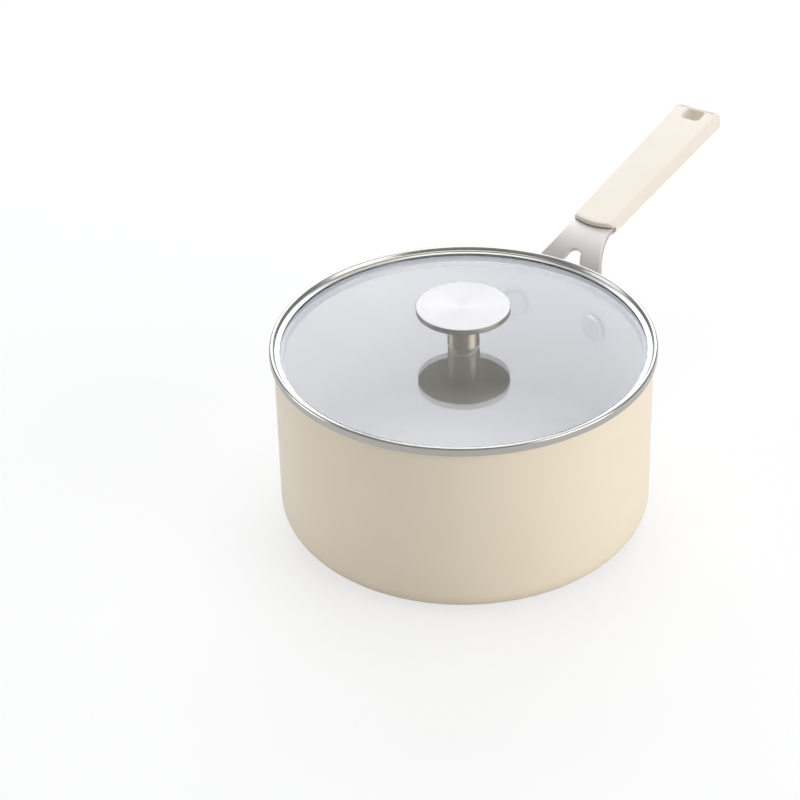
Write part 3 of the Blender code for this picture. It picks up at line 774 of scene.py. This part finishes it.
def grip_surface():
    """The grip as grids: two faces over its plan, and the walls that join them outside and round the hole.

    A face stands at the half thickness less a quarter circle's drop: e - sqrt(e^2 - (e - d)^2), with d the
    distance to the nearest edge and e that edge's radius. The near end bows towards the pot.
    """
    u, start, end = grip_rows()
    core = HOLE_ACROSS / 2 - HOLE_CORNER
    half = grip_half_width(u)
    through = (u >= start - 1e-9) & (u <= end + 1e-9)
    hole = np.where(through, hole_half_width(np.clip(u, start, end)), core)
    arms = across(hole, half, GRIP_ROUND, FACE_STEPS)
    centre = np.broadcast_to(np.linspace(0.0, core, 6)[None, :], (len(u), 6))
    outer_line = np.concatenate([np.stack([u, half], axis=1), [[u[-1], 0.0]]])
    hole_line = np.stack([u[through], hole[through]], axis=1)
    hole_line = np.concatenate([[[start, 0.0]], hole_line, [[end, 0.0]]])

    def lifted(w):
        flat = np.stack([np.broadcast_to(u[:, None], w.shape), w], axis=-1)
        rim = np.minimum(nearest_edge(flat, outer_line), GRIP_ROUND)
        lip = np.minimum(nearest_edge(flat, hole_line), HOLE_ROUND)
        rim = np.where(rim < 1e-6, 0.0, rim)
        lip = np.where(lip < 1e-6, 0.0, lip)
        thick = GRIP_THICK[0] + (GRIP_THICK[1] - GRIP_THICK[0]) * np.clip(u / GRIP_LENGTH, 0.0, 1.0)
        near = NEAR_ROUND - np.minimum(u - u[0], NEAR_ROUND)[:, None]
        drop = GRIP_ROUND - np.sqrt(GRIP_ROUND**2 - (GRIP_ROUND - rim) ** 2)
        drop = np.maximum(drop, NEAR_ROUND - np.sqrt(NEAR_ROUND**2 - near**2))
        drop = drop + HOLE_ROUND - np.sqrt(HOLE_ROUND**2 - (HOLE_ROUND - lip) ** 2)
        fade = np.clip(1.0 - (u + LAP) / BOW_FADE, 0.0, 1.0)[:, None]
        bowed = flat[..., 0] - BOW * fade * (1.0 - (w / GRIP_HALF[0]) ** 2)
        return bowed, thick[:, None] - drop

    grids = []
    for flip in (1.0, -1.0):
        bowed, rise = lifted(arms)
        top = np.stack([bowed, arms * flip, rise], axis=-1)
        bottom = top * np.array([1.0, 1.0, -1.0])
        grids += [top, bottom, np.stack([top[:, -1], bottom[:, -1]], axis=1)]
        grids += [np.stack([top[through, 0], bottom[through, 0]], axis=1)]
        grids += [np.stack([top[0], bottom[0]]), np.stack([top[-1], bottom[-1]])]
        bowed, rise = lifted(centre)
        top = np.stack([bowed, centre * flip, rise], axis=-1)
        bottom = top * np.array([1.0, 1.0, -1.0])
        for part in (u <= start + 1e-9, u >= end - 1e-9):
            grids += [top[part], bottom[part]]
            grids += [np.stack([top[part][0], bottom[part][0]]), np.stack([top[part][-1], bottom[part][-1]])]
    return grids


def on_handle(points):
    """Points in the grip's own frame, turned up by its rise about the start of its axis and moved there."""
    lip = box_of("lid_rim")[1][2]
    cosine, sine = math.cos(GRIP_RISE), math.sin(GRIP_RISE)
    along, wide, up = points[..., 0], points[..., 1], points[..., 2]
    x = HANDLE_START + along * cosine - up * sine
    z = lip + HANDLE_ABOVE_LIP + along * sine + up * cosine
    return np.stack([x, wide, z], axis=-1)


def cutter(low, high):
    """A closed box between two corners in the grip's frame."""
    ends = np.array([low, high])
    choice = np.array([[i & 1, (i >> 1) & 1, (i >> 2) & 1] for i in range(8)])
    corners = ends[choice, np.arange(3)]
    mesh = bpy.data.meshes.new("cutter")
    sides = [(0, 2, 3, 1), (4, 5, 7, 6), (0, 1, 5, 4), (2, 6, 7, 3), (0, 4, 6, 2), (1, 3, 7, 5)]
    mesh.from_pydata(on_handle(corners) * MM, [], sides)
    return bpy.data.objects.new("cutter", mesh)


def cut(piece, tool):
    """Takes the tool's volume out of the piece for good."""
    bpy.context.scene.collection.objects.link(tool)
    step = piece.modifiers.new("cut", "BOOLEAN")
    step.operation = "DIFFERENCE"
    step.solver = "EXACT"
    step.object = tool
    bpy.context.view_layer.update()
    seen = bpy.context.evaluated_depsgraph_get()
    result = bpy.data.meshes.new_from_object(piece.evaluated_get(seen))
    piece.modifiers.remove(step)
    piece.data = result
    bpy.data.meshes.remove(tool.data)


def make_grip():
    """The moulding, then cut for the neck, for the tang and for the screw's head."""
    grip = skin("moulded_grip", *[on_handle(grid) for grid in grip_surface()])
    slot = PLATE / 2 + GAP
    pocket = TANG_HALF + GAP
    cut(grip, cutter((-MOUTH, -CLEAR, -slot), (GAP, CLEAR, slot)))
    cut(grip, cutter((-MOUTH, -pocket, -slot), (TANG + GAP, pocket, slot)))
    bore = SCREW_HEAD + GAP
    outline = np.array([(0.0, SCREW_SEAT), (bore, SCREW_SEAT), (bore, -CLEAR), (0.0, -CLEAR)])
    well = skin("well", on_handle(turned_grid(outline, 48) + np.array([SCREW_ALONG, 0.0, 0.0])))
    bpy.context.scene.collection.objects.unlink(well)
    cut(grip, well)
    grip.data.shade_smooth()
    grip.data.set_sharp_from_angle(angle=math.radians(50))
    finish = coated("moulded_cream", GRIP_CREAM, GRIP_DRIFT, roughness=0.5, peel=1500.0, depth=0.01,
                    slow=30.0, marks=0.15)
    grip.data.materials.append(finish)
    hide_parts("grip")
    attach(grip, "pan")


make_grip()


# ---------------------------------------------------------------------------------------------
# The grip screw. A small steel pan-head screw with a cross recess, driven up from under the grip
# through the tang.

SCREW_STEEL = (170, 169, 166)
SCREW_SHANK = 1.6
SCREW_TIP = 2.8
SCREW_HEAD_THICK = 0.8
CROSS_HALF = 0.35
CROSS_REACH = 0.62
CROSS_EDGE = 0.12
CROSS_DEPTH = 0.5
ON_FACE = 0.02  # from the face, for a point that counts as part of it


def screw_grid(corners, head, face, flat, depth):
    """A turned screw with a cross in its face, which is flat from a radius inward.

    The flat's points lie close together. They rise by the depth times a steep step on the distance to the
    cross's two bars and to its ends.
    """
    edge = rounded(corners + [(0.0, face, 0.0)], spread=0.05)[:-3]
    inward = np.stack([np.linspace(flat, 0.0, 40), np.full(40, face)], axis=-1)
    grid = turned_grid(np.concatenate([edge, inward]), 96)
    x, y = grid[..., 0], grid[..., 1]
    bar = np.minimum(np.abs(x), np.abs(y)) - CROSS_HALF
    end = np.hypot(x, y) - head * CROSS_REACH
    inside = np.clip(0.5 - np.maximum(bar, end) / CROSS_EDGE, 0.0, 1.0)
    on_face = np.abs(grid[..., 2] - face) < ON_FACE
    return grid + np.array([0.0, 0.0, depth]) * (inside * on_face)[..., None]


def make_grip_screw():
    head, shank = SCREW_HEAD, SCREW_SHANK
    face = SCREW_SEAT - SCREW_HEAD_THICK
    corners = [(0.0, SCREW_TIP, 0.0), (shank, SCREW_TIP, 0.3), (shank, SCREW_SEAT, 0.0)]
    corners += [(head, SCREW_SEAT, 0.1), (head, face, 0.4), (head - 0.7, face, 0.0)]
    grid = screw_grid(corners, head, face, head - 0.75, CROSS_DEPTH)
    screw = skin("grip_screw_cross_head", on_handle(grid + np.array([SCREW_ALONG, 0.0, 0.0])))
    finish = metal("screw_steel", SCREW_STEEL, roughness=0.3, lines=2500.0, straight=1.0)
    screw.data.materials.append(finish)
    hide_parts("grip_screw")
    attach(screw, "pan")


make_grip_screw()


# ---------------------------------------------------------------------------------------------
# The lid's glass. A toughened disc, 4 mm thick and very slightly domed, with ground edges and a hole
# for the knob. Lamps shine through it as through a thin pane.

GLASS_TINT = (0.975, 0.98, 0.99, 1.0)
PANE_TINT = (0.91, 0.925, 0.93, 1.0)
GLASS_THICKNESS = 4.0
GLASS_RISE = 1.1
GLASS_HOLE = 3.4
GROUND_EDGE = 1.1
HOLE_EDGE = 0.3


def make_glass():
    """A flat ring's outline with close points along both faces, all raised by rise (1 - (r / radius)^2)."""
    _, high = box_of("lid_glass")
    radius = high[0]
    top = high[2] - GLASS_RISE
    foot = top - GLASS_THICKNESS
    corners = [(GLASS_HOLE, top, HOLE_EDGE), (GLASS_HOLE, foot, HOLE_EDGE)]
    corners += [(radius, foot, GROUND_EDGE), (radius, top, GROUND_EDGE)]
    edges = rounded(corners)
    upper = np.linspace([radius - 3.0, top], [GLASS_HOLE + 2.0, top], 24)
    lower = np.linspace([GLASS_HOLE + 2.0, foot], [radius - 3.0, foot], 24)
    split = int(np.argmax(edges[:, 0] > radius / 2))
    outline = np.concatenate([edges[:split], lower, edges[split:], upper])
    outline[:, 1] += GLASS_RISE * (1 - (outline[:, 0] / radius) ** 2)
    glass = skin("glass_disc", turned_grid(outline, 288))
    finish, tree, shader = new_finish("clear_glass")
    shader.inputs["Base Color"].default_value = GLASS_TINT
    shader.inputs["Transmission Weight"].default_value = 1.0
    shader.inputs["IOR"].default_value = 1.5
    hands = add(tree, "ShaderNodeGroup", node_tree=HANDLING_MARKS)
    hands.inputs["Amount"].default_value = 0.05
    hands.inputs["Size"].default_value = 30.0
    tree.links.new(hands.outputs["Mask"], shader.inputs["Roughness"])
    pane = add(tree, "ShaderNodeBsdfTransparent", {"Color": PANE_TINT})
    path = add(tree, "ShaderNodeLightPath")
    both = add(tree, "ShaderNodeMixShader", {0: path.outputs["Is Shadow Ray"], 1: shader.outputs[0]})
    tree.links.new(pane.outputs[0], both.inputs[2])
    tree.links.new(both.outputs[0], tree.nodes["Material Output"].inputs["Surface"])
    glass.data.materials.append(finish)
    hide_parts("lid_glass")
    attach(glass, "lid")


make_glass()


# ---------------------------------------------------------------------------------------------
# The lid's rim. Steel sheet rolled round the glass: a round lip stands above it, a flange covers
# the pot's rim, and a skirt inside centres the lid in the pot. A grey sealing compound lines the
# channel that holds the glass; its grey is darkened past its own colour as painted shade.

RIM_STEEL = (188, 186, 181)
# The compound's grey is partly its own colour and partly painted shade for the channel under the glass.
SHADE_PAINTED_COMPOUND = (128, 131, 136)
SHADE_PAINTED_COMPOUND_DRIFT = (120, 123, 128)
SHEET = 0.6
SHEET_EDGE = 0.28
LIP = 1.25
LIP_ROUND = 1.24
LIP_FOOT = 0.8
FLANK = 4.55
HEM_DEPTH = 2.1
HEM_INNER = 97.1
HEM_FLAT = 98.2
HEM_FALL = 0.35
HEM_EDGE = 0.08
SKIRT_OUTER = 98.5
GUIDE_INNER = 95.0


def make_rim():
    """The rolled sheet's outline: hem, lip, flank, under the flange, skirt, then up round the channel."""
    low, high = box_of("lid_rim")
    lip_top, outer = high[2], high[0]
    lip_inner, flange = outer - 2 * LIP, lip_top - FLANK
    shelf = lip_top - HEM_DEPTH
    channel = box_of("lid_glass")[1][0] + GAP
    channel_top = shelf - SHEET
    channel_bottom = channel_top - GLASS_THICKNESS - 2 * GAP
    under, guide = channel_bottom - SHEET, GUIDE_INNER + SHEET
    corners = [(HEM_INNER, shelf - HEM_FALL, HEM_EDGE), (HEM_FLAT, shelf, LIP_FOOT)]
    corners += [(lip_inner, shelf, LIP_FOOT), (lip_inner, lip_top, LIP_ROUND), (outer, lip_top, LIP_ROUND)]
    corners += [(outer, flange, 0.45), (SKIRT_OUTER, flange, 0.3), (SKIRT_OUTER, under, 0.5)]
    corners += [(guide, under, 0.4), (guide, low[2], SHEET_EDGE), (GUIDE_INNER, low[2], SHEET_EDGE)]
    corners += [(GUIDE_INNER, channel_bottom, 0.4), (channel, channel_bottom, 0.1)]
    corners += [(channel, channel_top, 0.1), (HEM_INNER, channel_top, HEM_EDGE)]
    rim = skin("rolled_rim", turned_grid(rounded(corners, spread=0.12, steps=8), 360))
    finish = metal("rolled_steel", RIM_STEEL, roughness=0.2, lines=1800.0, contrast=0.08, depth=0.002,
                   marks=0.1)
    # Painted shade: the channel's lining is darker than the compound itself, to stand in for the channel's
    # shadow.
    shade_painted_compound = coated("shade_painted_sealing_compound", SHADE_PAINTED_COMPOUND, SHADE_PAINTED_COMPOUND_DRIFT, roughness=0.6, peel=1500.0, depth=0.01,
                      slow=200.0)
    rim.data.materials.append(finish)
    rim.data.materials.append(shade_painted_compound)
    radius, height, _, _ = faces_of(rim)
    # The faces in the glass's channel, which take the darkened compound as painted shade.
    shade_painted_lining = (radius < channel + SLACK) & (height > channel_bottom - SLACK) & (height < channel_top + SLACK)
    rim.data.polygons.foreach_set("material_index", shade_painted_lining.astype(int))
    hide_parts("lid_rim")
    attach(rim, "lid")


make_rim()


# ---------------------------------------------------------------------------------------------
# The knob. A flat satin steel disc on a turned stem, clamped to the glass by a screw from below
# with a washer and two milky silicone seals.

DISC_STEEL = (184, 181, 178)
STEM_STEEL = (208, 202, 190)
SILICONE = (205, 203, 197)
SILICONE_DRIFT = (196, 194, 188)
DISC_RECESS = 4.3
DISC_RECESS_DEEP = 1.2
BORE = 2.0
BORE_DEEP = 7.0
KNOB_SCREW_HEAD = 3.9
KNOB_SCREW_SHANK = 1.7
KNOB_CROSS_DEPTH = 0.9
SEAL_ROUND = 0.35


def knob_piece(name, node, finish, corners, turns=96):
    """A turned piece of the lid from corners (radius, height, fillet radius)."""
    piece = skin(name, turned_grid(rounded(corners, spread=0.12, steps=6), turns))
    piece.data.materials.append(finish)
    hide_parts(node)
    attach(piece, "lid")


def make_knob():
    """The disc, the stem with its spigot, bore and recess, the two seals and the washer."""
    disc_steel = metal("satin_disc", DISC_STEEL, roughness=0.46, lines=3200.0, contrast=0.10, depth=0.003,
                       turned=0.3)
    stem_steel = metal("turned_stem", STEM_STEEL, roughness=0.42, lines=3000.0, contrast=0.10, depth=0.003,
                       turned=0.8)
    seal = coated("milky_silicone", SILICONE, SILICONE_DRIFT, roughness=0.55, peel=1800.0, depth=0.01,
                  slow=300.0)
    low, high = box_of("knob_disc")
    disc_r, disc_low, disc_high = high[0], low[2], high[2]
    recess = disc_low + DISC_RECESS_DEEP
    corners = [(0.0, disc_high, 0.0), (disc_r, disc_high, 0.35), (disc_r, disc_low, 0.45)]
    corners += [(DISC_RECESS, disc_low, 0.1), (DISC_RECESS, recess, 0.0), (0.0, recess, 0.0)]
    knob_piece("knob_top_disc", "knob_disc", disc_steel, corners, turns=192)

    low, high = box_of("knob_stem")
    stem, foot = high[0], low[2]
    spigot, shoulder = DISC_RECESS - GAP, disc_low - GAP
    bore_end = shoulder - BORE_DEEP
    _, seal_high = box_of("knob_gasket_upper")
    recess_r, roof = seal_high[0] + GAP, seal_high[2] + GAP
    corners = [(0.0, high[2], 0.0), (spigot, high[2], 0.2), (spigot, shoulder, 0.0), (stem, shoulder, 0.15)]
    corners += [(stem, foot, 0.5), (recess_r, foot, 0.1), (recess_r, roof, 0.0), (BORE, roof, 0.0)]
    corners += [(BORE, bore_end, 0.0), (0.0, bore_end, 0.0)]
    knob_piece("knob_stem_turned", "knob_stem", stem_steel, corners, turns=128)

    low, high = box_of("knob_gasket_upper")
    corners = [(GLASS_HOLE, high[2], 0.1), (high[0], high[2], SEAL_ROUND)]
    corners += [(high[0], low[2], SEAL_ROUND), (GLASS_HOLE, low[2], 0.1)]
    knob_piece("knob_seal_upper", "knob_gasket_upper", seal, corners)

    low, high = box_of("knob_gasket_lower")
    sleeve, under_glass = GLASS_HOLE - GAP, box_of("lid_glass")[0][2] - GAP
    corners = [(BORE, high[2], 0.1), (sleeve, high[2], 0.1), (sleeve, under_glass, 0.1)]
    corners += [(high[0], under_glass, SEAL_ROUND), (high[0], low[2], SEAL_ROUND), (BORE, low[2], 0.1)]
    knob_piece("knob_seal_lower", "knob_gasket_lower", seal, corners)

    low, high = box_of("knob_washer")
    corners = [(BORE, high[2], 0.1), (high[0], high[2], 0.2), (high[0], low[2], 0.3), (BORE, low[2], 0.1)]
    knob_piece("knob_washer_plain", "knob_washer", stem_steel, corners)


def make_knob_screw():
    low, high = box_of("knob_screw")
    head, shank = KNOB_SCREW_HEAD, KNOB_SCREW_SHANK
    seat, face = box_of("knob_washer")[0][2] - GAP, low[2]
    corners = [(0.0, high[2], 0.0), (shank, high[2], 0.4), (shank, seat, 0.1), (head, seat, 0.2)]
    corners += [(head, seat - 1.2, 0.5), (head - 1.2, face, 0.3)]
    grid = screw_grid(corners, head, face, head - 1.6, KNOB_CROSS_DEPTH)
    screw = skin("knob_screw_cross_head", grid)
    finish = metal("knob_screw_steel", SCREW_STEEL, roughness=0.3, lines=2500.0)
    screw.data.materials.append(finish)
    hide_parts("knob_screw")
    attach(screw, "lid")


make_knob()
make_knob_screw()
